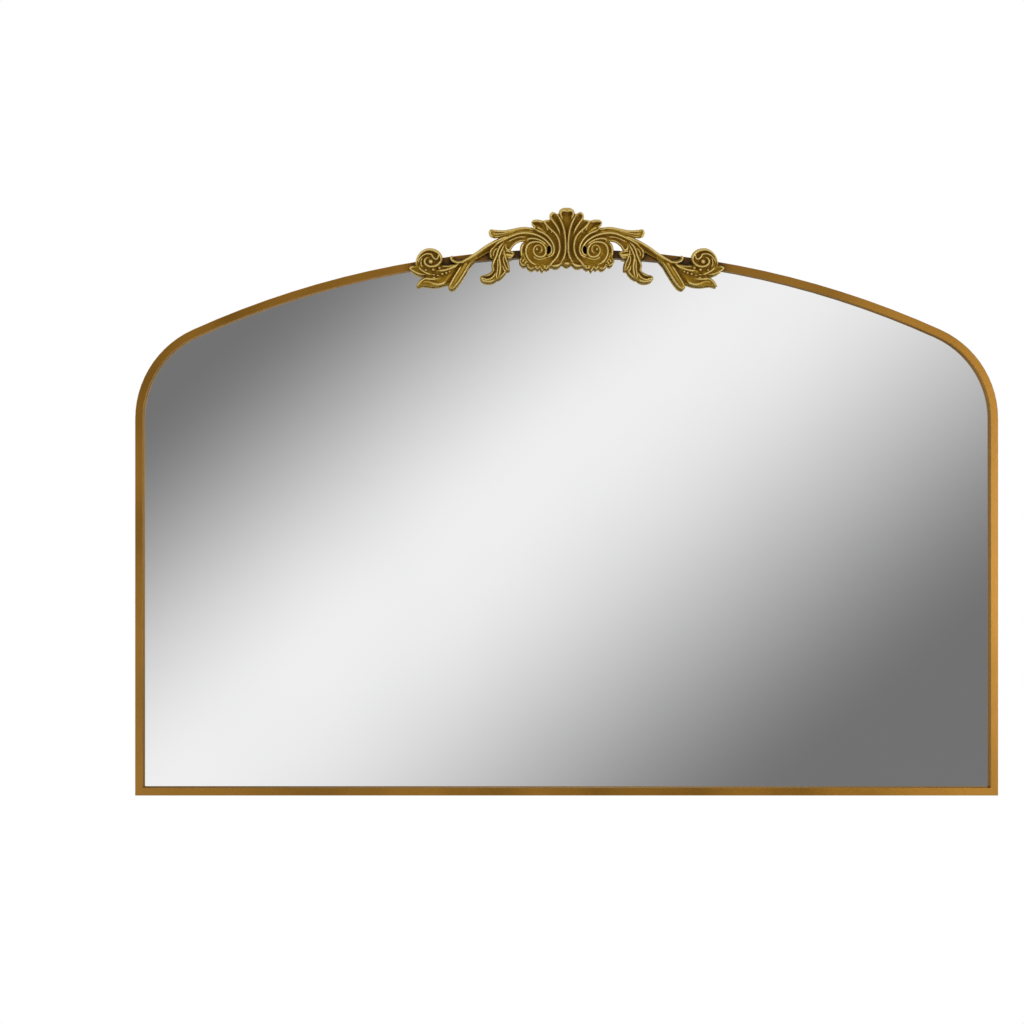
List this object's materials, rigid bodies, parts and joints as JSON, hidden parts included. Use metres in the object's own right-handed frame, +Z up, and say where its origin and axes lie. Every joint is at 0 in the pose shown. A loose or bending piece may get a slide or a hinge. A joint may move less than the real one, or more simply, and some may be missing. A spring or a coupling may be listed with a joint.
{
  "type": "arched wall mirror",
  "caption": "Wide wall mirror with a flat arched top, rounded shoulders, a slim gold rim and a cast shell and acanthus crest over the crown; hangs on a wall by rings on its back.",
  "frame": {"origin": "on the wall plane, midway between the two hook points where the raised hanging rings carry the mirror", "axes": "+X to the right as seen from the front, +Y into the wall, +Z up; the mirror faces -Y"},
  "size_m": [1.2192, 0.046, 0.8286],
  "materials": {
    "rim_gold": "satin",
    "crest_gold": "satin",
    "mirror": "polished",
    "film": "satin",
    "tape": "matte",
    "foam": "matte",
    "board": "matte",
    "block": "matte",
    "steel": "satin",
    "bracket": "satin",
    "bumper": "matte"
  },
  "bodies": {
    "mirror": {"arch_rail": "rim_gold", "bottom_rail": "rim_gold", "corner_key_left": "steel", "corner_key_right": "steel", "corner_key_screws": "steel", "glazing_tape": "tape", "mirror_glass": "mirror", "safety_film": "film", "foam_strips": "foam", "backing_board": "board", "setting_blocks": "block", "retainer_tabs": "steel", "retainer_screws": "steel", "hanger_strap_left": "steel", "hanger_strap_right": "steel", "hanger_screws": "steel", "wall_bumpers": "bumper", "bumper_screws": "steel", "crest": "crest_gold", "crest_brackets": "bracket", "crest_screws": "steel", "bracket_screws": "steel"},
    "ring_left": {"d_ring_left": "steel"},
    "ring_right": {"d_ring_right": "steel"}
  },
  "joints": [
    {"name": "ring_left_hinge", "type": "hinge", "parent": "mirror", "child": "ring_left", "pos_m": [-0.4064, -0.0066, -0.012], "axis": [-1, 0, 0], "range_deg": [0, 173]},
    {"name": "ring_right_hinge", "type": "hinge", "parent": "mirror", "child": "ring_right", "pos_m": [0.4064, -0.0066, -0.012], "axis": [-1, 0, 0], "range_deg": [0, 173]}
  ]
}
